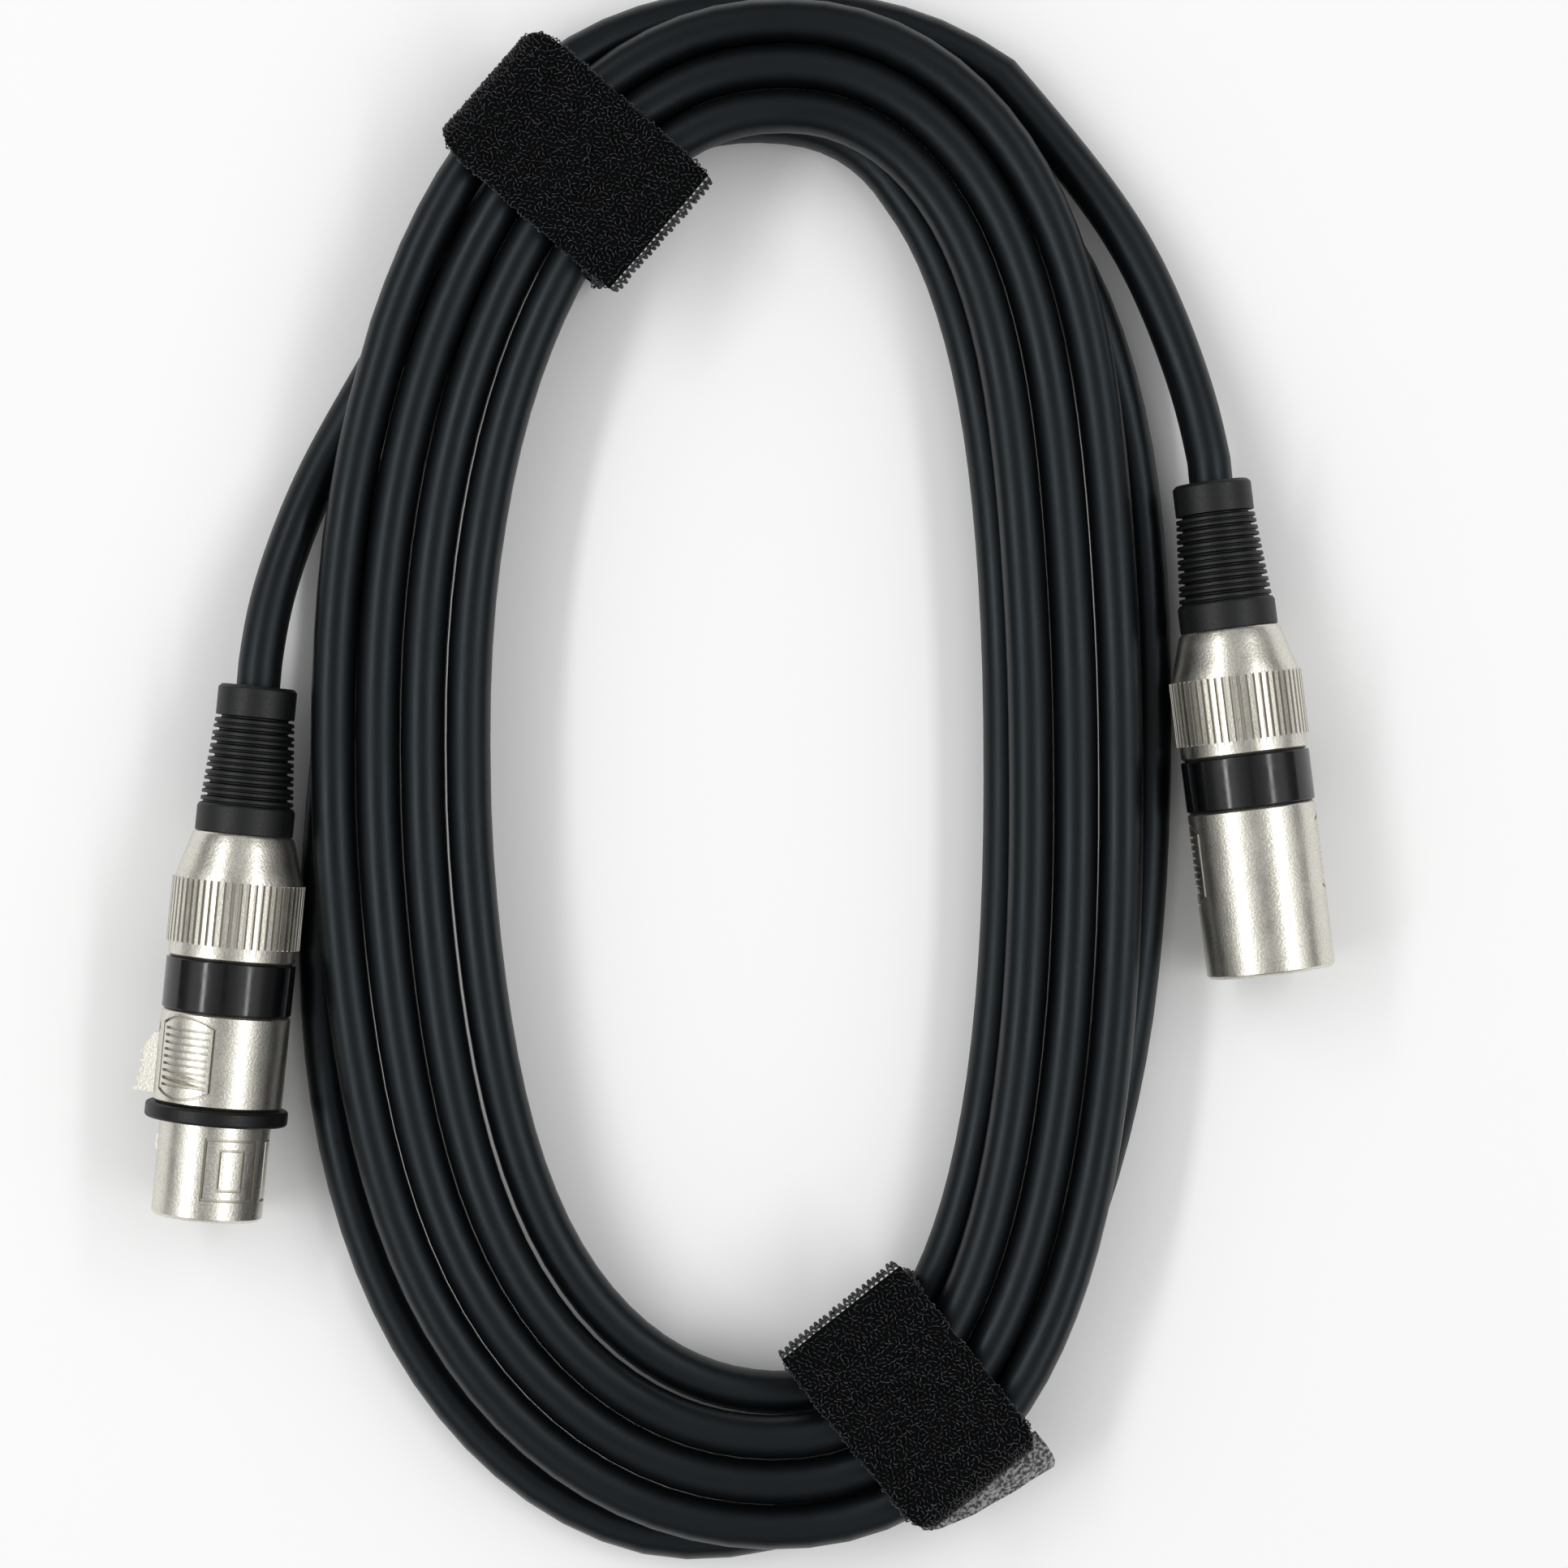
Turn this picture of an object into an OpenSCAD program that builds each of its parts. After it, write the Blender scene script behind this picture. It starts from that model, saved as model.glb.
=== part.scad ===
// Balanced microphone cable, coiled flat and held by two hook-and-loop straps,
// with a latching female and a male three-pole connector.

/* [Cable] */
// Outer diameter of the cable jacket
cable_d = 6.5; // [6:0.1:6.7]
// Clearance between neighbouring turns of one layer
turn_gap = 0.6; // [0.5:0.05:1]
// Clearance between the two layers of turns
layer_gap = 0.55; // [0.5:0.05:1]
// Diameter of one insulated core
core_d = 1.5; // [1.2:0.1:1.7]
// Diameter of the bare conductor of a core
strand_d = 1.1; // [0.8:0.1:1.2]

/* [Coil] */
// Width of the innermost turn, centre to centre
coil_w = 78.8; // [74:0.2:84]
// Length of the innermost turn, centre to centre
coil_l = 188; // [180:1:196]
// How far both ends of the oval lean to the right
coil_lean = 6; // [4:0.5:8]
// Squareness of the oval, where 2 is an ellipse
coil_square = 2.25; // [2:0.05:2.5]
// Extra spread of the turns at the lower left, as a share of their pitch
spread_low = 0.2; // [0:0.02:0.3]
// Extra spread of the turns at the upper right, as a share of their pitch
spread_high = 0.1; // [0:0.02:0.2]

/* [Straps] */
// Width of the strap tape, along the cable
strap_w = 22; // [16:1:26]
// Thickness of the strap tape
strap_t = 1.6; // [1.2:0.1:2]
// Clearance between a strap and the cable
strap_gap = 0.3; // [0.2:0.05:0.6]
// Length of the free end past the bundle
strap_end = 3.2; // [2:0.2:6]
// Length of the peeled tail of the lower strap
tail_l = 6.5; // [4:0.5:9]

/* [Connector barrel] */
// Diameter of the female connector's body
female_body_d = 19; // [18.6:0.1:19.4]
// Length of the female connector's body
female_body_l = 14; // [13.6:0.1:15]
// Diameter of the front barrel that plugs in
barrel_d = 16.3; // [16.1:0.1:16.4]
// Length of the front barrel past the seal ring
barrel_l = 14.2; // [13.8:0.1:15]
// Diameter of the male connector's shell
male_shell_d = 18.9; // [18.7:0.1:19.3]
// Length of the male shell in front of the coloured band
male_shell_l = 24.8; // [24.4:0.1:26]
// Clearance of the barrel in the male shell, on the radius
plug_gap = 0.1; // [0.05:0.05:0.15]
// Depth of the male shell's cup, down to the insulator's seat
cup_depth = 17.2; // [17:0.1:18]
// Bore of both shells, where the insulators sit
shell_bore_d = 14; // [13.8:0.1:14.2]
// Diameter of the threaded neck
neck_d = 15.8; // [15.6:0.1:16]
// Length of the threaded neck behind the coloured band
neck_l = 9.4; // [8.8:0.1:9.6]

/* [Contacts] */
// Diameter of the circle that the three contacts stand on
contact_circle_d = 9.53; // [9.4:0.01:9.6]
// Diameter of a pin
pin_d = 2.4; // [2.3:0.02:2.44]
// Bore of a socket
socket_bore_d = 2.5; // [2.46:0.02:2.6]
// Length of a pin in front of the insulator
pin_l = 14; // [13:0.1:14.6]
// Diameter of a pin's root in the insulator
pin_root_d = 2.9; // [2.8:0.1:3]
// Diameter of the shoulder inside the insulator
shoulder_d = 3.5; // [3.3:0.1:3.6]
// Hole in the face of the female insulator
face_hole_d = 3; // [2.8:0.1:3.2]
// Diameter of a solder cup
cup_d = 2.8; // [2.8:0.1:2.9]

/* [Band, seal ring and bushing] */
// Diameter of the coloured band
band_d = 19; // [18.6:0.1:19.4]
// Length of the coloured band
band_l = 7.5; // [6.5:0.1:8]
// Outer diameter of the rubber seal ring
seal_d = 21; // [20.4:0.1:21.6]
// Length of the seal ring
seal_l = 2.3; // [1.9:0.1:2.8]
// Diameter of the knurled bushing
bushing_d = 19.6; // [19.2:0.1:20]
// Length of the knurled stretch
knurl_l = 10.5; // [9:0.1:11]
// Number of flutes round the bushing
knurl_count = 56; // [40:1:60]
// Depth of a flute
knurl_depth = 0.45; // [0.3:0.05:0.6]
// Length of the plain collar in front of the knurl
collar_l = 1.8; // [1.4:0.1:2.2]
// Length of the bushing's cone
cone_l = 6.6; // [6:0.1:7.2]
// Diameter of the cone's rear end
cone_d = 15; // [14.8:0.1:15.6]

/* [Boot] */
// Length of the strain relief boot that shows
boot_l = 21.8; // [20:0.1:24]
// Diameter of the boot's rear collar
boot_collar_d = 11.6; // [11:0.1:12]
// Length of the boot's rear collar
boot_collar_l = 4.6; // [4:0.1:5.5]
// Diameter of the boot's front skirt
boot_skirt_d = 14.4; // [14:0.1:14.8]
// Length of the boot's front skirt
boot_skirt_l = 3.6; // [3:0.1:4.5]
// Number of ribs round the boot
boot_ribs = 7; // [5:1:9]
// Depth of the deep grooves in the boot
boot_groove = 0.9; // [0.6:0.1:1.2]
// Diameter of the boot's nose inside the bushing
boot_nose_d = 10.6; // [10:0.1:10.8]

/* [Latch] */
// Width of the latch lever's thumb block
lever_w = 5.4; // [5:0.1:5.8]
// Width of the latch lever's beam and hook
hook_w = 3.6; // [3.2:0.1:4]
// Height of the thumb block above the connector's axis
thumb_h = 13.2; // [12.6:0.1:13.8]
// Height of the hook above the barrel
hook_rise = 0.75; // [0.5:0.05:0.9]
// Length of the hook
hook_l = 2.2; // [1.8:0.1:2.4]
// Distance from the barrel's tip to the hook's front
hook_back = 9.2; // [8.8:0.1:9.6]
// Diameter of the latch pin
latch_pin_d = 1.6; // [1.4:0.1:1.8]
// Running clearance round the latch pin, on the radius
pin_gap = 0.05; // [0.02:0.01:0.08]
// Clearance on each side of the lever in its slot
slot_gap = 0.4; // [0.3:0.05:0.6]
// Wire diameter of the latch spring
spring_wire_d = 0.4; // [0.3:0.05:0.5]
// Mean diameter of the latch spring
spring_d = 2; // [1.8:0.1:2.2]

/* [Hidden] */
$fn = 64;

e = 0.02;          // overrun of a cut past a face
seat_gap = 0.1;    // clearance of a piece that only sits in another
chamfer = 0.5;     // edge break of the metal pieces

// Middle of the oval; the origin is the middle of the whole, on the ground
coil_at = [1.1, 1.3];

// Where the coil starts and ends, in turns from its first crossing
coil_from = 0;
coil_to = 5.27;
rings_per_turn = 24;
start_angle = 149;   // angle of the crossing on the oval
climb_from = 1.45;   // turn where the lower layer starts to climb
climb_to = 1.97;     // turn where the upper layer starts
climb_tuck = 1.5;    // inward bow while the cable climbs

// Lay of the first loop: turn, distance outside the innermost line, layer. It sags
// onto the ground between the straps.
FIRST_LOOP = [[-0.02, 25, -0.1], [0.06, 16.5, 0], [0.16, 10.4, 0], [0.24, 13.5, -0.1],
    [0.3, 19.6, -0.18], [0.36, 22.2, -0.2], [0.46, 21.2, -0.2], [0.58, 16.5, 0], [0.65, 18.5, 0],
    [0.7, 25, -0.1], [0.75, 31, -0.2], [0.8, 31.2, -0.22], [0.86, 25.8, -0.22],
    [0.94, 19.2, -0.12], [1.04, 9, 0], [1.14, 2.6, 0], [1.24, 0, 0]];
// Lay of the last reach: turn, distance outside the innermost line, layer
LAST_REACH = [[5, 21.8, 1], [5.06, 22.1, 0.88], [5.1, 21.2, 0.5], [5.14, 19.3, 0.1],
    [5.18, 18.5, 0], [5.22, 21.6, 0], [5.26, 26.5, 0], [5.3, 28.6, 0.1], [5.34, 32, 0.3]];

turn_pitch = cable_d + turn_gap;
layer_rise = cable_d + layer_gap;
coil_low_z = strap_t + strap_gap + cable_d/2;

// Left, right and top of the innermost line, which the free ends keep their place to
coil_left = coil_at.x - coil_w/2;
coil_right = coil_at.x + coil_w/2;
coil_top = coil_at.y + coil_l/2;

// Rear face of each boot, with the connector's heading and height
seal_floor_z = seal_d/2;
knurl_floor_z = bushing_d/2;
female_at = [coil_left - 31.6, coil_top - 82.7, seal_floor_z];
female_heading = -5.6;
female_roll = 113;
male_at = [coil_right + 30.6, coil_top - 52.5, knurl_floor_z];
male_heading = 7;
male_roll = 180;

// Stations along a connector, from the boot's rear face to the front
cone_z = boot_l;
knurl_z = cone_z + cone_l;
collar_z = knurl_z + knurl_l;
band_z = collar_z + collar_l;
body_z = band_z + band_l;
seal_z = body_z + female_body_l;
barrel_z = seal_z + seal_l;
female_tip_z = barrel_z + barrel_l;
male_tip_z = body_z + male_shell_l;
neck_z = band_z - neck_l;
cup_floor_z = male_tip_z - cup_depth;

// Pieces inside the bushing and the neck
nose_l = 4.4;                       // boot's nose in the bushing
nose_end_z = cone_z + nose_l;
bushing_bore_d = boot_nose_d + 2*seat_gap;
chuck_z = nose_end_z + 0.2;         // rear end of the chuck
chuck_cone_z = neck_z - 0.3;        // where the chuck's cone ends
chuck_d = shell_bore_d - 3*seat_gap;
chuck_wall = 0.5;
insulator_z = body_z - 2.2;         // rear face of both insulators
insulator_d = shell_bore_d - 2*seat_gap;
jacket_end_z = chuck_cone_z + 1.3;  // where the jacket is cut back
cup_z = insulator_z - 5;            // mouth of the solder cups
cup_root_z = insulator_z + 0.5;
cup_bore_d = cup_d - 0.8;
female_face_z = female_tip_z - 0.5; // face of the female insulator
socket_end_z = female_face_z - 1.3; // front end of the sockets
socket_depth = pin_l - 0.3;
male_face_z = cup_floor_z + 2;      // face of the male insulator
shoulder_end_z = male_face_z - 5.5;
pin_root_step = 0.3;                // how far the root stands out of the insulator
CONTACT_ANGLES = [0, 180, 270];     // the key and the latch are at 90

seal_seat = 0.25;                   // depth of the seal ring's seat in the barrel

// Grips pressed into both shells, and the frames pressed into the barrel
groove_w = 0.4;
grip_l = 12.4;
grip_w = 0.51*male_shell_d;
grip_lines = 9;
grip_side = 6;                      // how far the grips are turned from level
frame_side = 52;                    // how far the frames are turned from level

// Latch: heights are above the connector's axis
pivot_y = 7.6;
pivot_z = body_z + 3;
boss_d = 2.8;
block_y = 6.4;
beam_low_y = 5.8;
beam_top_y = 7.4;
channel_y = 3.7;                    // floor of the insulator's channel
hook_end_z = female_tip_z - hook_back;
hook_z = hook_end_z - hook_l;
ramp_l = 1.8;
slot_z = pivot_z - boss_d/2 - slot_gap;
block_end_z = seal_z - 0.8;
barrel_slot_z = seal_z - 0.3;
barrel_slot_end_z = hook_end_z + ramp_l + slot_gap;
pin_half = sqrt(pow(female_body_d/2, 2) - pow(pivot_y + latch_pin_d/2, 2)) - 0.1;
spring_z = pivot_z + 6.3;
spring_turns = 3;
channel_low_half = hook_w/2 + 0.5;  // half width of the channel's floor
channel_top_half = channel_low_half + 0.65;

// Male shell's latch window lies where the hook lands when mated
hook_from_tip = female_tip_z - (hook_z + hook_end_z)/2;
window_z = male_tip_z - (barrel_l - hook_from_tip);
window_l = hook_l + 0.4;
window_w = 6.4;
recess_d = 7.2;                     // round recess behind the window
key_w = 3.8;
key_l = 5;
key_drop = 1.75;                    // height of the key inside the male shell

function unit(v) = v/norm(v);
function power(v, p) = sign(v)*pow(abs(v), p);
function ease(t, a, b) = let (u = min(1, max(0, (t - a)/(b - a)))) u*u*(3 - 2*u);
function apart(a, b) = abs((a - b + 540) % 360 - 180);
function bump(d, w) = pow(cos(90*min(1, d/w)), 2);

// Point of the innermost line at angle a, and its outward normal
function oval(a) = [coil_w/2*power(cos(a), 2/coil_square) + coil_lean*pow(sin(a), 2),
    coil_l/2*power(sin(a), 2/coil_square)];
function outward(a) = let (q = unit(oval(a + 1) - oval(a - 1))) [q.y, -q.x];

// Smooth curve through column j of a table whose first column is the turn
function slope(K, i, j) = let (a = max(0, i - 1), b = min(len(K) - 1, i + 1))
    (K[b][j] - K[a][j])/(K[b][0] - K[a][0]);
function along(K, t, j) = let (
    i = max([for (k = [0 : len(K) - 2]) if (K[k][0] <= t || k == 0) k]),
    h = K[i + 1][0] - K[i][0],
    u = (t - K[i][0])/h)
    (2*u*u*u - 3*u*u + 1)*K[i][j] + (u*u*u - 2*u*u + u)*h*slope(K, i, j)
    + (3*u*u - 2*u*u*u)*K[i + 1][j] + (u*u*u - u*u)*h*slope(K, i + 1, j);

// Distance outside the innermost line at turn t: a hand-laid first loop, an upper
// layer that spirals out at a steady rate, and a hand-laid last reach
function spread(a) = 1 + spread_low*bump(apart(a, 228), 40) + spread_high*bump(apart(a, 45), 35);
function spiral(t) = turn_pitch*max(0, t - climb_to)*spread(start_angle - 360*t)
    - climb_tuck*bump(abs(t - 1.74), 0.27);
function coil_out(t) = t < 1.24 ? along(FIRST_LOOP, t, 1)
    : t > 5 ? along(LAST_REACH, t, 1) : spiral(t);
function coil_level(t) = t < 1.24 ? along(FIRST_LOOP, t, 2)
    : t > 5 ? along(LAST_REACH, t, 2) : ease(t, climb_from, climb_to);
function coil_point(t) = let (a = start_angle - 360*t, p = coil_at + oval(a) + outward(a)*coil_out(t))
    [p.x, p.y, coil_low_z + layer_rise*coil_level(t)];
function coil_heading(t) = unit(coil_point(t + 0.004) - coil_point(t - 0.004));

// The coil's path, with one straight cable diameter at each end
coil_start = coil_point(coil_from) - cable_d*coil_heading(coil_from);
coil_end = coil_point(coil_to) + cable_d*coil_heading(coil_to);
coil_steps = floor((coil_to - coil_from)*rings_per_turn);
COIL_PATH = [coil_start, for (i = [0 : coil_steps]) coil_point(coil_from + i/rings_per_turn),
    coil_point(coil_to), coil_end];

// Places and headings of the connectors
function heading(yaw) = [sin(yaw), -cos(yaw), 0];
female_entry = female_at - cable_d*heading(female_heading);
male_entry = male_at - cable_d*heading(male_heading);

// Free stretches: hand-laid points between the coil's ends and the boots
FEMALE_LEAD = [coil_start, coil_start - cable_d*coil_heading(coil_from),
    [coil_left - 24.3, coil_top - 52.5, 5.4], [coil_left - 27.6, coil_top - 61.5, 7],
    [coil_left - 30, coil_top - 69.5, 9.2], female_entry, female_at];
MALE_LEAD = [coil_end, coil_end + 0.6*cable_d*coil_heading(coil_to),
    [coil_right + 26.9, coil_top - 34, 6.8], [coil_right + 28.2, coil_top - 40, 8.8],
    male_entry, male_at];

function ring(p, t, r, sides, top) = let (side = unit(cross(t, top)), up = cross(side, t))
    [for (k = [0 : sides - 1]) p + r*(cos(90 + 360*k/sides)*side + sin(90 + 360*k/sides)*up)];
function tangent(P, i) = unit(P[min(i + 1, len(P) - 1)] - P[max(i - 1, 0)]);
function least_gap(P, d, skip) = min([for (i = [0 : len(P) - 1 - skip])
    for (j = [i + skip : len(P) - 1]) norm(P[i] - P[j])]) - d;
function length_of(P) = len(P) < 2 ? 0 : norm(P[1] - P[0]) + length_of([for (i = [1 : len(P) - 1]) P[i]]);

echo(least_gap_between_turns = least_gap(COIL_PATH, cable_d, 12));
echo(coil_length = length_of(COIL_PATH));
echo(female_lead_length = length_of(FEMALE_LEAD), male_lead_length = length_of(MALE_LEAD));

// A solid tube of triangles along the points of P, of one diameter or one for each point
module tube(P, d, sides, top = [0, 0, 1]) {
    n = len(P);
    points = [for (i = [0 : n - 1])
        each ring(P[i], tangent(P, i), (is_list(d) ? d[i] : d)/2, sides, top)];
    skin = [for (i = [0 : n - 2]) for (k = [0 : sides - 1])
        let (a = i*sides + k, b = i*sides + (k + 1) % sides)
        each [[a, b, a + sides], [b, b + sides, a + sides]]];
    last = (n - 1)*sides;
    caps = [for (k = [1 : sides - 2]) each [[0, k + 1, k], [last, last + k, last + k + 1]]];
    polyhedron(points, concat(skin, caps));
}

module hollow(z0, z1, d_out, d_in) {
    translate([0, 0, z0]) difference() {
        cylinder(h = z1 - z0, d = d_out);
        translate([0, 0, -e]) cylinder(h = z1 - z0 + 2*e, d = d_in);
    }
}

// Puts a connector drawn along +Z, with its key at +Y, where it lies
module lay(at, yaw, roll) {
    translate(at) rotate([0, 0, yaw]) rotate([90, 0, 0]) rotate([0, 0, roll]) children();
}
module lay_female() { lay(female_at, female_heading, female_roll) children(); }
module lay_male() { lay(male_at, male_heading, male_roll) children(); }

// ---------------------------------------------------------------- cable

module coil() { color("#16191b") tube(COIL_PATH, cable_d, 6); }
module female_lead() { color("#16191b") tube(FEMALE_LEAD, cable_d, 8); }
module male_lead() { color("#16191b") tube(MALE_LEAD, cable_d, 8); }

// Jacket that runs on through the boot and the chuck
module cable_end() { color("#16191b") cylinder(h = jacket_end_z, d = cable_d); }
module female_cable_end() { lay_female() cable_end(); }
module male_cable_end() { lay_male() cable_end(); }

// Two cores and the twisted shield, fanned out into the solder cups
module cores() {
    fan_steps = 5;
    out = contact_circle_d/2 - core_d;
    fan_l = cup_z - jacket_end_z - 2.5;
    path = [[core_d, 0, jacket_end_z],
        for (i = [0 : fan_steps]) let (u = i/fan_steps)
            [core_d + out*ease(u, 0, 1), 0, jacket_end_z + 0.5 + fan_l*u],
        for (z = [-0.4, -0.3, 3]) [contact_circle_d/2, 0, cup_z + z]];
    widths = [for (i = [0 : len(path) - 1]) i < len(path) - 2 ? core_d : strand_d];
    color("firebrick") for (a = CONTACT_ANGLES) rotate(a) tube(path, widths, 8, [1, 0, 0]);
}
module female_cores() { lay_female() cores(); }
module male_cores() { lay_male() cores(); }

// --------------------------------------------------------------- straps

bundle_top = coil_low_z + layer_rise + cable_d/2 + strap_gap;
strap_round = cable_d/2 + strap_gap;
strap_sink = 0.3;                   // how far the lap presses into the layer under it

// Where a strap lies: angle on the oval, and its turn from square to the oval
UPPER_STRAP = [120.5, 0];
LOWER_STRAP = [291.5, -5];
strap_samples = [for (i = [0 : len(COIL_PATH) - 2]) for (u = [0 : 0.1 : 0.9])
    COIL_PATH[i]*(1 - u) + COIL_PATH[i + 1]*u];

function across(s) = let (n = outward(s[0])) atan2(n.y, n.x) + s[1];
// Inner and outer reach of the cables that pass through a strap
function strap_span(s) = let (
    a = across(s),
    p = coil_at + oval(s[0]),
    held = [for (q = strap_samples) let (v = [q.x, q.y] - p, x = v*[cos(a), sin(a)])
        if (abs(v*[-sin(a), cos(a)]) <= strap_w/2 + 0.5 && abs(x) < coil_w/2) x])
    [min(held) - cable_d/2 - strap_gap, max(held) + cable_d/2 + strap_gap];

// Outline of a rectangle with round corners
function rounded(x0, x1, y0, y1, r) = [for (k = [0 : 3])
    let (c = [k == 0 || k == 3 ? x1 - r : x0 + r, k < 2 ? y1 - r : y0 + r])
    for (i = [0 : 5]) c + r*[cos(90*k + 18*i), sin(90*k + 18*i)]];

// Tape round a bundle that spans span; its outer end laps over the top and stands free
module wrap(span) {
    x0 = span[0];
    x1 = span[1];
    difference() {
        union() {
            polygon(rounded(x0 - strap_t, x1 + strap_t, 0, bundle_top + strap_t, strap_round + strap_t));
            translate([x0 - strap_t - strap_end, bundle_top + strap_t - strap_sink])
                square([x1 - x0 + strap_end - strap_round, strap_t]);
        }
        polygon(rounded(x0, x1, strap_t, bundle_top, strap_round));
    }
}

module strap_at(s) {
    p = coil_at + oval(s[0]);
    translate([p.x, p.y, 0]) rotate([0, 0, across(s)]) rotate([90, 0, 0])
        linear_extrude(strap_w, center = true) children();
}

module upper_strap() { color("#101214") strap_at(UPPER_STRAP) wrap(strap_span(UPPER_STRAP)); }

module lower_strap() {
    span = strap_span(LOWER_STRAP);
    color("#101214") strap_at(LOWER_STRAP) {
        wrap(span);
        translate([span[1] + strap_t/2, bundle_top*0.62]) rotate(-24) square([tail_l, strap_t]);
    }
}

// ---------------------------------------------- pieces both connectors share

// Rubber boot: each rib is split by a shallow groove and parted from the next by a deep one
module boot() {
    rib_span = boot_l - boot_collar_l - boot_skirt_l;
    rib = rib_span/boot_ribs;
    taper = (boot_skirt_d - boot_collar_d)/2/rib_span;
    bore_r = cable_d/2 + seat_gap;
    color("#1b1d1e") rotate_extrude() polygon([
        [bore_r, 0], [boot_collar_d/2 - chamfer, 0], [boot_collar_d/2, chamfer],
        for (i = [0 : boot_ribs - 1]) for (s = [[0, 0], [0.04, 1], [0.2, 1], [0.26, 0], [0.54, 0],
            [0.58, 0.45], [0.7, 0.45], [0.74, 0]]) let (z = (i + s[0])*rib)
            [boot_collar_d/2 + 0.8*taper*z - s[1]*boot_groove, boot_collar_l + z],
        [boot_skirt_d/2, boot_l - boot_skirt_l], [boot_skirt_d/2, boot_l],
        [boot_nose_d/2, boot_l], [boot_nose_d/2, nose_end_z], [bore_r, nose_end_z]]);
}
module female_boot() { lay_female() boot(); }
module male_boot() { lay_male() boot(); }

// Cross-section of the knurl: straight flutes cut round a disc
module flutes() {
    step = 360/knurl_count;
    polygon([for (i = [0 : knurl_count - 1]) each
        [for (s = [[0, 0], [0.5, 0], [0.62, 1], [0.88, 1]])
            let (a = (i + s[0])*step, r = bushing_d/2 - s[1]*knurl_depth) [r*cos(a), r*sin(a)]]]);
}

module bushing() {
    root_d = bushing_d - 2*knurl_depth;
    color("#d8d5ca") difference() {
        union() {
            translate([0, 0, knurl_z + chamfer]) linear_extrude(knurl_l - 2*chamfer) flutes();
            rotate_extrude() polygon([[0, cone_z], [cone_d/2 - chamfer, cone_z],
                [cone_d/2, cone_z + chamfer], [root_d/2, knurl_z], [root_d/2, band_z - chamfer],
                [root_d/2 - chamfer, band_z], [0, band_z]]);
        }
        rotate_extrude() polygon([[0, cone_z - e], [bushing_bore_d/2, cone_z - e],
            [bushing_bore_d/2, nose_end_z], [chuck_d/2 + seat_gap, chuck_cone_z],
            [neck_d/2 + seat_gap, chuck_cone_z], [neck_d/2 + seat_gap, band_z + e], [0, band_z + e]]);
    }
}
module female_bushing() { lay_female() bushing(); }
module male_bushing() { lay_male() bushing(); }

// Split cone that grips the jacket, with a sleeve that holds the insulator
module chuck() {
    sleeve_bore = chuck_d - 2*chuck_wall;
    finger_d = bushing_bore_d - 3*seat_gap;
    color("#e6e3da") difference() {
        rotate_extrude() polygon([[cable_d/2 + seat_gap/2, chuck_z], [finger_d/2, chuck_z],
            [chuck_d/2 - seat_gap, chuck_cone_z], [chuck_d/2, chuck_cone_z],
            [chuck_d/2, insulator_z], [sleeve_bore/2, insulator_z],
            [sleeve_bore/2, jacket_end_z], [cable_d/2 + seat_gap/2, jacket_end_z - 1]]);
        for (a = [45 : 90 : 315]) rotate(a)
            translate([cable_d/2 - 1, -0.5, chuck_z - e]) cube([chuck_d, 1, jacket_end_z - chuck_z - 2]);
        for (a = [45, 225]) rotate(a)
            translate([sleeve_bore/4, -3, jacket_end_z + 2]) cube([chuck_d, 6, insulator_z - jacket_end_z - 4]);
    }
}
module female_chuck() { lay_female() chuck(); }
module male_chuck() { lay_male() chuck(); }

module band() { color("#0c0d0e") hollow(band_z, body_z, band_d, neck_d + 2*seat_gap); }
module female_band() { lay_female() band(); }
module male_band() { lay_male() band(); }

// Draws an outline given as (along the axis, height) with a width along X
module edgewise(w) { rotate([0, -90, 0]) linear_extrude(w, center = true) children(); }

// Presses an outline given as (along the axis, sideways) into a round wall from d0 to d1
module pressed(d0, d1, z0, l) {
    depth = 0.17*(d1 - d0);             // a third of the wall
    intersection() {
        rotate_extrude() translate([d1/2 - min(depth, groove_w), z0]) square([1, l]);
        translate([d1/2, 0, z0]) edgewise(d1/2) children();
    }
}

// Oblong with bowed ends
module bowed(l, w) {
    bow = 0.1*l;
    polygon([for (i = [-4 : 4]) [bow*pow(i/4, 2), w*i/8],
        for (i = [4 : -1 : -4]) [l - bow*pow(i/4, 2), w*i/8]]);
}

// Outlined grip with lines across it, on both sides of a shell
module grips(d0, d1, z0) {
    first = 0.15*grip_l;
    pitch = (grip_l - 2*first - groove_w)/(grip_lines - 1);
    for (side = [grip_side, 180 - grip_side]) rotate(side) pressed(d0, d1, z0, grip_l) {
        difference() {
            bowed(grip_l, grip_w);
            translate([groove_w, 0]) bowed(grip_l - 2*groove_w, grip_w - 2*groove_w);
        }
        for (i = [0 : grip_lines - 1]) translate([first + i*pitch, 2*groove_w - grip_w/2])
            square([groove_w, grip_w - 4*groove_w]);
    }
}

// Solder cup with its bore
module solder_cup() {
    difference() {
        translate([0, 0, cup_z]) cylinder(h = cup_root_z - cup_z + e, d = cup_d);
        translate([0, 0, cup_z - e]) cylinder(h = 4, d = cup_bore_d);
    }
}

module at_contacts() { for (a = CONTACT_ANGLES) rotate(a) translate([contact_circle_d/2, 0, 0]) children(); }

// --------------------------------------------------- female connector

module keyway(low_half, top_half, low_y, z0, z1) {
    translate([0, 0, z0]) linear_extrude(z1 - z0) polygon([[-low_half, low_y], [low_half, low_y],
        [top_half, shell_bore_d/2 + 0.6], [-top_half, shell_bore_d/2 + 0.6]]);
}

module outlined(l, w) {
    translate([0, -w/2]) difference() {
        square([l, w]);
        translate([groove_w, groove_w]) square([l - 2*groove_w, w - 2*groove_w]);
    }
}

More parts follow.
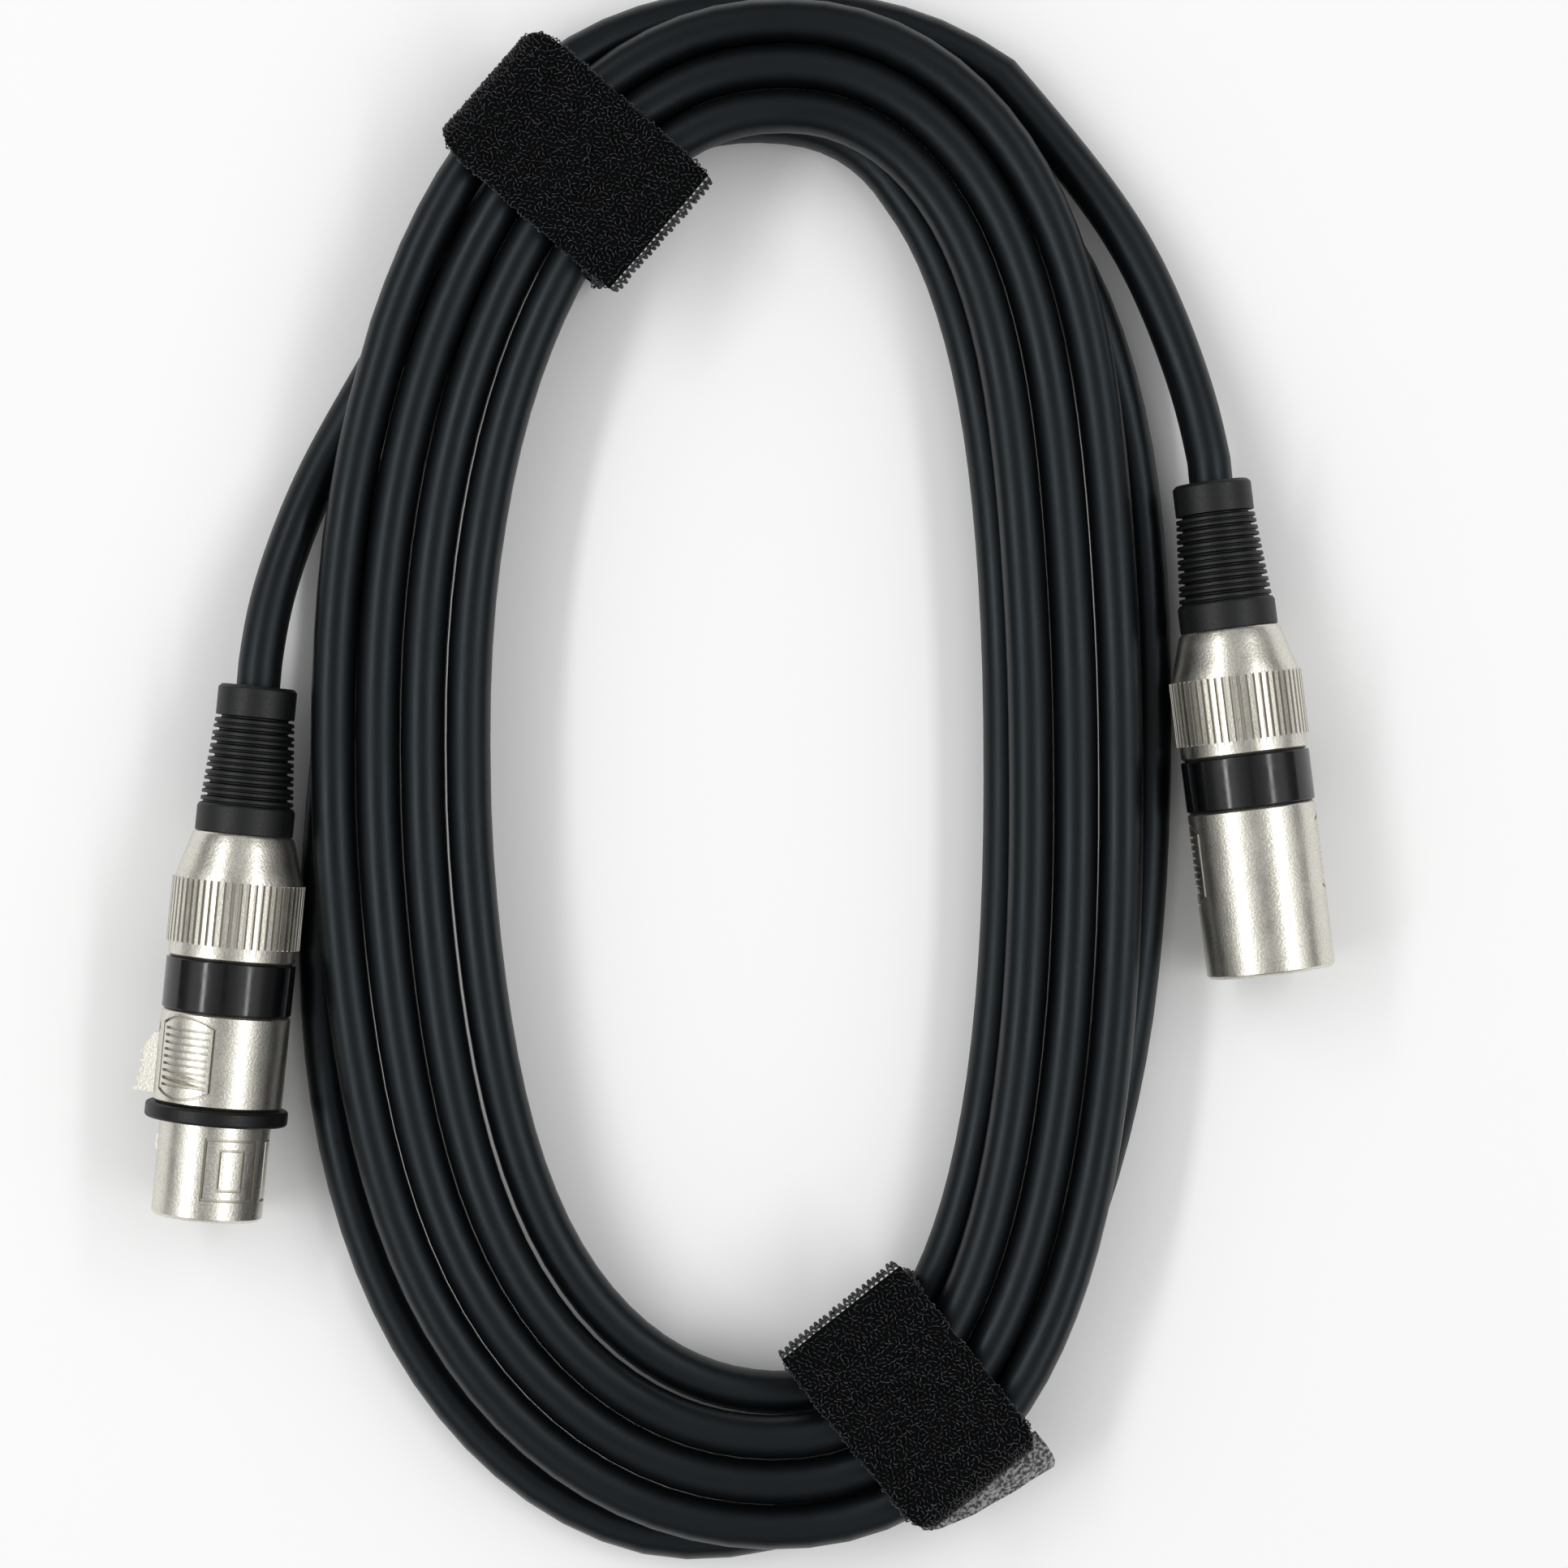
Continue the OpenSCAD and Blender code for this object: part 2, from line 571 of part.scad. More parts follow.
// Two outlines pressed into the barrel, one inside the other
module panel_frame() {
    l = 0.65*barrel_l;
    w = 0.5*barrel_d;
    pressed(shell_bore_d, barrel_d, barrel_z + 0.13*barrel_l, l) {
        outlined(l, w);
        translate([0.16*l, 0]) outlined(0.68*l, w/2);
    }
}

module female_shell() {
    body_r = female_body_d/2;
    lay_female() color("#d8d5ca") difference() {
        union() {
            rotate_extrude() polygon([[shell_bore_d/2, neck_z], [neck_d/2, neck_z],
                [neck_d/2, body_z], [body_r - chamfer, body_z], [body_r, body_z + chamfer],
                [body_r, seal_z - chamfer], [body_r - chamfer, seal_z],
                [barrel_d/2 - seal_seat, seal_z], [barrel_d/2 - seal_seat, barrel_z],
                [barrel_d/2, barrel_z], [barrel_d/2, female_tip_z - chamfer], [barrel_d/2 - chamfer, female_tip_z],
                [shell_bore_d/2, female_tip_z]]);
            intersection() {
                keyway(channel_low_half - seat_gap, channel_top_half - seat_gap,
                    channel_y + seat_gap, barrel_slot_end_z + 1.2, female_tip_z);
                cylinder(h = female_tip_z, d = shell_bore_d + 0.6);
            }
        }
        translate([-lever_w/2 - slot_gap, block_y - 1.2, slot_z])
            cube([lever_w + 2*slot_gap, body_r, barrel_slot_z - slot_z]);
        translate([-hook_w/2 - slot_gap, beam_low_y - 1, barrel_slot_z - e])
            cube([hook_w + 2*slot_gap, body_r, barrel_slot_end_z - barrel_slot_z]);
        translate([-key_w/2 - 0.2, barrel_d/2 + plug_gap - key_drop - 0.2, barrel_slot_end_z + 1.2])
            cube([key_w + 0.4, 4, barrel_l]);
        translate([0, pivot_y, pivot_z]) rotate([0, 90, 0])
            cylinder(h = female_body_d, d = latch_pin_d, center = true);
        grips(shell_bore_d, female_body_d, body_z + 0.7);
        for (side = [-frame_side, 180 + frame_side]) rotate(side) panel_frame();
    }
}

module female_insulator() {
    lay_female() color("#121314") difference() {
        translate([0, 0, insulator_z])
            cylinder(h = female_face_z - insulator_z, d = insulator_d);
        keyway(channel_low_half, channel_top_half, channel_y, insulator_z - e, female_tip_z);
        translate([-lever_w/2 - slot_gap, channel_y, insulator_z - e])
            cube([lever_w + 2*slot_gap, insulator_d, barrel_slot_z - insulator_z]);
        at_contacts() {
            translate([0, 0, insulator_z - e])
                cylinder(h = socket_end_z + seat_gap - insulator_z, d = shoulder_d + seat_gap);
            translate([0, 0, insulator_z]) cylinder(h = female_tip_z - insulator_z, d = face_hole_d);
        }
    }
}

module female_sockets() {
    lay_female() color("#c9a34a") at_contacts() {
        solder_cup();
        difference() {
            translate([0, 0, cup_root_z]) cylinder(h = socket_end_z - cup_root_z, d = shoulder_d);
            translate([0, 0, socket_end_z - socket_depth]) cylinder(h = socket_depth + e, d = socket_bore_d);
        }
    }
}

// Side view of the lever's rear block, with a stepped thumb rest
module block_outline() {
    teeth = 5;
    tooth_from = pivot_z + 3.4;
    tooth = (block_end_z - tooth_from)/teeth;
    polygon([[pivot_z, block_y], [block_end_z, block_y], [block_end_z, thumb_h],
        for (i = [teeth - 1 : -1 : 0]) each [[tooth_from + (i + 0.55)*tooth, thumb_h - 0.12*(teeth - i)],
            [tooth_from + (i + 0.45)*tooth, thumb_h - 0.7 - 0.12*(teeth - i)],
            [tooth_from + i*tooth, thumb_h - 0.7 - 0.12*(teeth - i)]],
        [pivot_z + 1.2, female_body_d/2 + 0.8], [pivot_z + 1.2, pivot_y + boss_d/2 - e],
        [pivot_z, pivot_y + boss_d/2 - e]]);
}

module beam_outline() {
    hook_y = barrel_d/2 + hook_rise;
    polygon([[block_end_z - 1, beam_low_y], [hook_end_z + ramp_l, beam_low_y + 0.6],
        [hook_end_z + ramp_l, beam_top_y], [hook_end_z, hook_y], [hook_z, hook_y],
        [hook_z, beam_top_y], [block_end_z - 1, beam_top_y]]);
}

module latch_lever() {
    lay_female() color("#cfc6b2") difference() {
        union() {
            edgewise(lever_w) {
                block_outline();
                translate([pivot_z, pivot_y]) circle(d = boss_d);
            }
            edgewise(hook_w) beam_outline();
        }
        translate([0, pivot_y, pivot_z]) rotate([0, 90, 0])
            cylinder(h = lever_w + 2, d = latch_pin_d + 2*pin_gap, center = true);
    }
}

module latch_pin() {
    lay_female() color("silver") translate([-pin_half, pivot_y, pivot_z]) rotate([0, 90, 0])
        cylinder(h = 2*pin_half, d = latch_pin_d);
}

module latch_spring() {
    rest = block_y - channel_y - spring_wire_d - seat_gap;
    steps = 8*spring_turns;
    lay_female() color("silver") translate([0, channel_y + spring_wire_d/2 + seat_gap/2, spring_z])
        rotate([-90, 0, 0]) tube([for (i = [0 : steps]) let (a = 360*i/8)
            [spring_d/2*cos(a), spring_d/2*sin(a), rest*i/steps]], spring_wire_d, 6);
}

module seal_ring() {
    r0 = barrel_d/2 - seal_seat + seat_gap/2;
    r1 = seal_d/2;
    soft = 0.2*(r1 - r0);
    lay_female() color("#0b0c0d") rotate_extrude() {
        translate([r0, seal_z]) square([r1 - soft - r0, seal_l]);
        translate([r0, seal_z + soft]) square([r1 - r0, seal_l - 2*soft]);
        for (z = [seal_z + soft, seal_z + seal_l - soft]) translate([r1 - soft, z]) circle(soft);
    }
}

// ----------------------------------------------------- male connector

module male_shell() {
    r = male_shell_d/2;
    cup_r = barrel_d/2 + plug_gap;
    lay_male() color("#d8d5ca") difference() {
        union() {
            rotate_extrude() polygon([[shell_bore_d/2, neck_z], [neck_d/2, neck_z],
                [neck_d/2, body_z], [r - chamfer, body_z], [r, body_z + chamfer],
                [r, male_tip_z - chamfer], [r - chamfer, male_tip_z], [cup_r, male_tip_z],
                [cup_r, cup_floor_z], [shell_bore_d/2, cup_floor_z]]);
            translate([-key_w/2, cup_r - key_drop, male_face_z]) cube([key_w, key_drop + 0.4, key_l]);
        }
        translate([-window_w/2, cup_r - 1, window_z - window_l/2]) cube([window_w, 4, window_l]);
        translate([0, r - 0.45, window_z - window_l/2 - 3.2]) difference() {
            rotate([-90, 0, 0]) cylinder(h = 2, d = recess_d);
            translate([-recess_d/2 - 1, -e, 2.2]) cube([recess_d + 2, 3, recess_d]);
        }
        grips(2*cup_r, male_shell_d, body_z + 1.6);
    }
}

module male_insulator() {
    flange_d = barrel_d + 2*plug_gap - 2*seat_gap;
    lay_male() color("#121314") difference() {
        union() {
            translate([0, 0, insulator_z])
                cylinder(h = male_face_z - insulator_z, d = insulator_d);
            translate([0, 0, cup_floor_z]) cylinder(h = male_face_z - cup_floor_z, d = flange_d);
        }
        at_contacts() {
            translate([0, 0, insulator_z - e])
                cylinder(h = shoulder_end_z + seat_gap - insulator_z, d = shoulder_d + seat_gap);
            translate([0, 0, insulator_z])
                cylinder(h = male_face_z - insulator_z + e, d = pin_root_d + seat_gap);
        }
    }
}

module male_pins() {
    tip_z = male_face_z + pin_l;
    root_end_z = male_face_z + pin_root_step;
    lay_male() color("#dcd8cc") at_contacts() {
        solder_cup();
        translate([0, 0, cup_root_z]) cylinder(h = shoulder_end_z - cup_root_z, d = shoulder_d);
        translate([0, 0, shoulder_end_z]) cylinder(h = root_end_z - shoulder_end_z, d = pin_root_d);
        translate([0, 0, root_end_z]) cylinder(h = tip_z - pin_d/2 - root_end_z, d = pin_d);
        translate([0, 0, tip_z - pin_d/2]) sphere(d = pin_d);
    }
}

coil();
female_lead();
male_lead();
upper_strap();
lower_strap();
female_shell();
female_insulator();
female_sockets();
latch_lever();
latch_pin();
latch_spring();
seal_ring();
female_band();
female_chuck();
female_bushing();
female_boot();
female_cable_end();
female_cores();
male_shell();
male_insulator();
male_pins();
male_band();
male_chuck();
male_bushing();
male_boot();
male_cable_end();
male_cores();
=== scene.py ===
# A balanced microphone cable: one jacketed lead wound flat, a female and a male
# three-pole connector on its ends, and two hook-and-loop straps round the coil.
import math
import random

import bpy
from mathutils import Matrix, Vector


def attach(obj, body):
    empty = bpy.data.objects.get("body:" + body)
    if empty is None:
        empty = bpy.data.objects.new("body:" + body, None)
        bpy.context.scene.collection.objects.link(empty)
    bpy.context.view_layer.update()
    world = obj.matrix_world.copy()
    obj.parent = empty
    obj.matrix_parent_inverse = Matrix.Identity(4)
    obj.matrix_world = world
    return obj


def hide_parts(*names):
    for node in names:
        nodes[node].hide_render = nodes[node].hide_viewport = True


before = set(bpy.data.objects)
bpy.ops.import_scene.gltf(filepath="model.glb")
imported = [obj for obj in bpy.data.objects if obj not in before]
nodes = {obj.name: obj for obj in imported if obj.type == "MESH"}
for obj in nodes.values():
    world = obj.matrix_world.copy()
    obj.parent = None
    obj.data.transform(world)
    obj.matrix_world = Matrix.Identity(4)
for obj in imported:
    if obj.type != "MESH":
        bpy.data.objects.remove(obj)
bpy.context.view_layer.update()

scene = bpy.context.scene

# ---------------------------------------------------------------- camera
# A camera with an 85 mm lens on a copy stand looks straight down on the coil from a
# little over half a metre, so that the connectors' sides hardly show.
camera_over = (0.00785, -0.00183)
camera_height = 0.558
camera_data = bpy.data.cameras.new("camera_on_stand")
camera_data.sensor_width = 36
camera_data.lens = 85
camera = bpy.data.objects.new("camera_on_stand", camera_data)
camera.location = (*camera_over, camera_height)
scene.collection.objects.link(camera)
scene.camera = camera
scene.view_settings.view_transform = "Standard"

# ---------------------------------------------------------------- cable
# One length of round microphone cable in an extruded black PVC jacket. It leaves the
# female connector, goes round once loosely on the ground, then winds a tighter layer
# on top of that and drops back down to the male connector.
cable_d = 0.0065
# The coil's innermost line is an oval: its middle, half its width and length, how
# square it is, how far its two ends lean to the right, and the angle it starts at
coil_at = Vector((0.0011, 0.0013))
coil_half_w = 0.0394
coil_half_l = 0.094
coil_square = 2.25
coil_lean = 0.006
start_angle = 149
# Pitch of the turns side by side, height of the lower layer, and the step up from it
turn_pitch = 0.00665
coil_low_z = 0.00515
layer_rise = 0.00705
# The turns at which the first loop has closed in, the climb starts and ends, the reach
# to the male connector starts, and the coil ends
loop_closed = 1.24
climb_from = 1.45
climb_to = 1.97
reach_from = 5
coil_to = 5.27
turn_steps = 96
# Turn, distance outside the innermost line, layer
first_loop = [
    (-0.02, 0.025, -0.1), (0.06, 0.0165, 0), (0.16, 0.0104, 0), (0.24, 0.0135, -0.1),
    (0.3, 0.0196, -0.18), (0.36, 0.0222, -0.2), (0.46, 0.0212, -0.2), (0.58, 0.0165, 0),
    (0.65, 0.0185, 0), (0.7, 0.025, -0.1), (0.75, 0.028, -0.2), (0.8, 0.0283, -0.22),
    (0.86, 0.0258, -0.22), (0.94, 0.0192, -0.12), (1.04, 0.009, 0), (1.14, 0.0026, 0),
    (1.24, 0, 0),
]
last_reach = [
    (5, 0.0211, 1), (5.06, 0.0218, 0.88), (5.1, 0.0212, 0.5), (5.14, 0.0193, 0.1),
    (5.18, 0.0185, 0), (5.22, 0.0216, 0), (5.26, 0.0265, 0), (5.3, 0.0286, 0.1),
    (5.34, 0.032, 0.3),
]
# The wound turns keep a little slack all round, and bow out further at the lower left
# and the upper right: how far, at which angle, over how many degrees
slack = 0.0008
bows = [(0.0023, 228, 40), (0.001, 45, 35)]
slack_taken_up = 0.4
# They are tucked in while they climb: how far, at which turn, over how many turns
climb_tuck = 0.0015
tuck_turn = 1.74
tuck_turns = 0.27


def power(value, exponent):
    """A power that keeps its value's sign."""
    return math.copysign(abs(value) ** exponent, value)


def oval(angle):
    """A point of the coil's innermost line, as seen from the coil's middle."""
    c, s = math.cos(math.radians(angle)), math.sin(math.radians(angle))
    return Vector((
        coil_half_w * power(c, 2 / coil_square) + coil_lean * s * s,
        coil_half_l * power(s, 2 / coil_square),
    ))


def outward(angle):
    """The way straight out from the oval at an angle."""
    q = (oval(angle + 1) - oval(angle - 1)).normalized()
    return Vector((q.y, -q.x))


def eased(u, a, leaving_a, b, reaching_b):
    """A smooth run from a to b, numbers or points, which leaves and arrives as told."""
    return (
        (2 * u**3 - 3 * u**2 + 1) * a + (u**3 - 2 * u**2 + u) * leaving_a
        + (3 * u**2 - 2 * u**3) * b + (u**3 - u**2) * reaching_b
    )


def slope(table, i, column):
    """How steeply a table's column runs past one of its rows."""
    a, b = max(0, i - 1), min(len(table) - 1, i + 1)
    return (table[b][column] - table[a][column]) / (table[b][0] - table[a][0])


def along(table, turn, column):
    """A table's column at a turn, read smoothly between its rows."""
    i = max([k for k in range(len(table) - 1) if table[k][0] <= turn or k == 0])
    gap = table[i + 1][0] - table[i][0]
    return eased(
        (turn - table[i][0]) / gap,
        table[i][column], gap * slope(table, i, column),
        table[i + 1][column], gap * slope(table, i + 1, column),
    )


def bump(distance, width):
    """A soft hump: 1 in its middle, 0 at its width and past it."""
    return math.cos(math.radians(90 * min(1, distance / width))) ** 2


def apart(a, b):
    """Degrees between two directions."""
    return abs((a - b + 540) % 360 - 180)


def coil_point(turn):
    """The cable's middle, so many turns after the coil's start."""
    angle = start_angle - 360 * turn
    if turn < loop_closed:
        out, level = along(first_loop, turn, 1), along(first_loop, turn, 2)
    elif turn > reach_from:
        out, level = along(last_reach, turn, 1), along(last_reach, turn, 2)
    else:
        loose = slack + sum(far * bump(apart(angle, at), over) for far, at, over in bows)
        out = turn_pitch * max(0, turn - climb_to)
        out -= climb_tuck * bump(abs(turn - tuck_turn), tuck_turns)
        out += loose * min(1, (turn - loop_closed) / slack_taken_up)
        climb = min(1, max(0, (turn - climb_from) / (climb_to - climb_from)))
        level = climb * climb * (3 - 2 * climb)
    p = coil_at + oval(angle) + outward(angle) * out
    return Vector((p.x, p.y, coil_low_z + layer_rise * level))


def coil_heading(turn):
    """The way the cable runs at a turn."""
    return (coil_point(turn + 0.004) - coil_point(turn - 0.004)).normalized()


def smooth_through(points, steps):
    """A smooth line through points that runs straight off at both ends."""
    line = []
    for i in range(len(points) - 1):
        a, b = points[i], points[i + 1]
        leaving_a = (b - points[i - 1]) / 2 if i else b - a
        reaching_b = (points[i + 2] - a) / 2 if i + 2 < len(points) else b - a
        line += [eased(k / steps, a, leaving_a, b, reaching_b) for k in range(steps)]
    return line + [points[-1]]


def backwards(turn):
    """The way from a connector's tip to its boot, for one turned by so many degrees."""
    return Vector((-math.sin(math.radians(turn)), math.cos(math.radians(turn)), 0))


# Where the cable goes into each boot
female_at = Vector((-0.0699, 0.0126, 0.0105))
female_back = backwards(-5.6)
male_at = Vector((0.0711, 0.0428, 0.0098))
male_back = backwards(7)
coil_start = coil_point(0) - cable_d * coil_heading(0)
coil_end = coil_point(coil_to) + cable_d * coil_heading(coil_to)
female_lead = smooth_through([
    female_at, female_at + cable_d * female_back, Vector((-0.0683, 0.0258, 0.0092)),
    Vector((-0.0659, 0.0338, 0.007)), Vector((-0.0626, 0.0428, 0.0054)),
    coil_start - cable_d * coil_heading(0), coil_start,
], 8)
male_lead = smooth_through([
    coil_end, coil_end + 0.6 * cable_d * coil_heading(coil_to),
    Vector((0.0674, 0.0613, 0.0068)), Vector((0.0687, 0.0553, 0.0088)),
    male_at + cable_d * male_back, male_at,
], 8)
coil_route = [coil_point(i / turn_steps) for i in range(math.floor(coil_to * turn_steps) + 1)]
cable_route = female_lead + coil_route + male_lead
# Both leads relax into even bends from a few points inside the coil on, and stay
# straight where they leave their boots
in_coil, at_boot = 3, 5
relaxed = [
    *range(at_boot, len(female_lead) + in_coil),
    *range(len(cable_route) - len(male_lead) - in_coil, len(cable_route) - at_boot),
]
for step in range(60):
    for i in relaxed:
        cable_route[i] = (cable_route[i - 1] + 2 * cable_route[i] + cable_route[i + 1]) / 4

cable_curve = bpy.data.curves.new("cable", "CURVE")
cable_curve.dimensions = "3D"
cable_curve.bevel_depth = cable_d / 2
cable_curve.bevel_resolution = 6
spline = cable_curve.splines.new("POLY")
spline.points.add(len(cable_route) - 1)
for point, place in zip(spline.points, cable_route):
    point.co = (*place, 1)
spline.use_smooth = True
cable = bpy.data.objects.new("cable", cable_curve)
scene.collection.objects.link(cable)


def linear(code):
    """sRGB hex to linear colour with alpha."""
    parts = [int(code[i : i + 2], 16) / 255 for i in (1, 3, 5)]
    return [c / 12.92 if c <= 0.04045 else ((c + 0.055) / 1.055) ** 2.4 for c in parts] + [1]


def add(tree, kind, links=(), values=(), **settings):
    """Adds a node; links are (input, node, output) and values are (input, value)."""
    made = tree.nodes.new("ShaderNode" + kind)
    for name, value in settings.items():
        setattr(made, name, value)
    for socket, value in values:
        made.inputs[socket].default_value = value
    for socket, source, output in links:
        tree.links.new(source.outputs[output], made.inputs[socket])
    return made


def new_material(name):
    """An empty material with its tree, its shader and its object coordinates."""
    material = bpy.data.materials.new(name)
    material.use_nodes = True
    tree = material.node_tree
    shader = tree.nodes["Principled BSDF"]
    return material, tree, shader, add(tree, "TexCoord")


# Flexible PVC, extruded: deep black and satin, so that it shows broad soft highlights
# with blurred edges. The grain that its die leaves is drawn 1 mm coarse so that it
# shows. Scuffs of about 14 mm vary its gloss, and a few specks of dust lie on it.
pvc_jacket, tree, shader, coords = new_material("extruded_pvc_jacket")
grain = add(tree, "TexNoise", [("Vector", coords, "Object")], [("Scale", 900), ("Detail", 3)])
scuff = add(tree, "TexNoise", [("Vector", coords, "Object")], [("Scale", 70), ("Detail", 4)])
gloss = add(
    tree, "MapRange", [("Value", scuff, "Fac")],
    [("From Min", 0.3), ("From Max", 0.7), ("To Min", 0.34), ("To Max", 0.44)],
)
dust = add(tree, "TexNoise", [("Vector", coords, "Object")], [("Scale", 420), ("Detail", 1)])
specks = add(
    tree, "MapRange", [("Value", dust, "Fac")],
    [("From Min", 0.82), ("From Max", 0.88), ("To Min", 0), ("To Max", 1)],
)
colour = add(
    tree, "Mix", [(0, specks, "Result")],
    [(6, linear("#07090b")), (7, linear("#4d5358"))], data_type="RGBA",
)
relief = add(tree, "Bump", [("Height", grain, "Fac")], [("Strength", 0.12), ("Distance", 0.0002)])
tree.links.new(colour.outputs[2], shader.inputs["Base Color"])
tree.links.new(gloss.outputs["Result"], shader.inputs["Roughness"])
tree.links.new(relief.outputs["Normal"], shader.inputs["Normal"])
shader.inputs["Specular IOR Level"].default_value = 0.4
shader.inputs["Specular Tint"].default_value = linear("#cfdee8")
cable_curve.materials.append(pvc_jacket)

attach(cable, "cable")
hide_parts("coil", "female_lead", "male_lead")

# ---------------------------------------------------------------- die-cast shells
# Each connector's body is a zinc die casting, polished and plated with pearl nickel. A
# ribbed grip panel is pressed into two of its sides, and frames into the female barrel.

# Each connector's line, from the middle of its boot's back end towards its tip
lines = {"female": (female_at, -female_back), "male": (male_at, -male_back)}
# The stretches of it that have pressed lines: from, to, outer radius
pressed = {
    "female": [(0.0488, 0.0616, 0.0095), (0.065, 0.0777, 0.00815)],
    "male": [(0.0488, 0.072, 0.00945)],
}
# A pressed line or a flute is deeper than the first of these and less than the second
recess_from = 0.0001
recess_to = 0.0006

# Pearl nickel, electroplated: warm and half bright. Its grains are drawn a third of a
# millimetre coarse, so that they break the highlights' edges up into sparkles, and
# clouds 4 mm wide vary its gloss.
pearl_nickel, tree, shader, coords = new_material("pearl_nickel_plating")
grains = add(tree, "TexNoise", [("Vector", coords, "Object")], [("Scale", 3000), ("Detail", 1)])
clouds = add(tree, "TexNoise", [("Vector", coords, "Object")], [("Scale", 240), ("Detail", 3)])
gloss = add(
    tree, "MapRange", [("Value", clouds, "Fac")],
    [("From Min", 0.3), ("From Max", 0.7), ("To Min", 0.26), ("To Max", 0.36)],
)
shine = add(
    tree, "Mix", [(0, grains, "Fac")],
    [(6, linear("#bcb8ac")), (7, linear("#f4f1e8"))], data_type="RGBA",
)
relief = add(tree, "Bump", [("Height", grains, "Fac")], [("Strength", 0.3), ("Distance", 0.0001)])
tree.links.new(shine.outputs[2], shader.inputs["Base Color"])
tree.links.new(gloss.outputs["Result"], shader.inputs["Roughness"])
tree.links.new(relief.outputs["Normal"], shader.inputs["Normal"])
shader.inputs["Metallic"].default_value = 1


def plated(name, colour_code, roughness):
    """A plain metal surface with a haze of two thirds of a millimetre in its gloss."""
    material, tree, shader, coords = new_material(name)
    haze = add(tree, "TexNoise", [("Vector", coords, "Object")], [("Scale", 1500), ("Detail", 2)])
    gloss = add(
        tree, "MapRange", [("Value", haze, "Fac")],
        [("From Min", 0.3), ("From Max", 0.7), ("To Min", roughness - 0.05), ("To Max", roughness + 0.05)],
    )
    tree.links.new(gloss.outputs["Result"], shader.inputs["Roughness"])
    shader.inputs["Base Color"].default_value = linear(colour_code)
    shader.inputs["Metallic"].default_value = 1
    return material


# Down in the flutes and the pressed lines the nickel is painted darker, which is painted shade, and it is
# rougher and duller
recess_shade_nickel = plated("nickel_with_painted_recess_shade", "#c4c0b6", 0.46)


def refined(title, node, body, material, edge):
    """A merged copy of a CAD node with its edges broken, which stands for it."""
    bpy.ops.object.select_all(action="DESELECT")
    made = bpy.data.objects.new(title, nodes[node].data.copy())
    scene.collection.objects.link(made)
    bpy.context.view_layer.objects.active = made
    made.select_set(True)
    bpy.ops.object.mode_set(mode="EDIT")
    bpy.ops.mesh.select_all(action="SELECT")
    bpy.ops.mesh.remove_doubles(threshold=0.000002)
    bpy.ops.mesh.dissolve_degenerate(threshold=0.00002)
    bpy.ops.mesh.dissolve_limited(angle_limit=math.radians(0.1))
    bpy.ops.object.mode_set(mode="OBJECT")
    rounding = made.modifiers.new("edges", "BEVEL")
    rounding.width = edge
    rounding.segments = 2
    rounding.limit_method = "ANGLE"
    rounding.angle_limit = math.radians(35)
    bpy.ops.object.modifier_apply(modifier=rounding.name)
    bpy.ops.object.shade_smooth_by_angle(angle=math.radians(35))
    flats = made.modifiers.new("flats", "WEIGHTED_NORMAL")
    flats.keep_sharp = True
    bpy.ops.object.modifier_apply(modifier=flats.name)
    made.data.materials.clear()
    made.data.materials.append(material)
    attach(made, body)
    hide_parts(node)
    return made


def off_line(point, back, axis):
    """The arm from a connector's line square out to a point."""
    arm = point - back
    return arm - axis * arm.dot(axis)


def shade_as_turned(made, back, axis):
    """Shades the wide faces round a connector's line as one smooth cylinder."""
    data = made.data
    normals = [corner.vector.copy() for corner in data.corner_normals]
    for face in data.polygons:
        # Faces that stand across the surface, such as a line's walls, keep their own
        if face.normal.dot(off_line(face.center, back, axis).normalized()) < 0.8:
            continue
        for i in face.loop_indices:
            place = data.vertices[data.loops[i].vertex_index].co
            normals[i] = off_line(place, back, axis).normalized()
    data.normals_split_custom_set(normals)


def paint_recess_shade(made, back, axis, stretches):
    """Gives the faces that reach below a round surface the darker nickel: painted shade in the recesses."""
    made.data.materials.append(recess_shade_nickel)
    for face in made.data.polygons:
        reach = (face.center - back).dot(axis)
        corners = [made.data.vertices[i].co for i in face.vertices]
        lowest = min(off_line(place, back, axis).length for place in corners)
        for start, end, outer in stretches:
            if start < reach < end and outer - recess_to < lowest < outer - recess_from:
                face.material_index = 1


for side, line in lines.items():
    shell = refined(
        side + "_die_cast_shell", side + "_shell", "cable", pearl_nickel, 0.00008,
    )
    shade_as_turned(shell, *line)
    # The shell's pressed lines get painted shade: a darker nickel
    paint_recess_shade(shell, *line, pressed[side])

# ---------------------------------------------------------------- knurled bushings
# The clamping bushing screws onto the shell behind the coding ring. It is turned, with
# a smooth cone and a grip of straight flutes, and plated like the shell.

# The fluted stretch of each connector's line
fluted = (0.0289, 0.0384, 0.0098)
for side, line in lines.items():
    bushing = refined(
        side + "_knurled_bushing", side + "_bushing", "cable", pearl_nickel, 0.00006,
    )
    # The flutes get painted shade: a darker nickel
    paint_recess_shade(bushing, *line, [fluted])

# ---------------------------------------------------------------- ribbed boots
# A strain relief moulded in soft PVC, pushed into the bushing's cone. Its ribs let it
# bend with the cable without a kink.


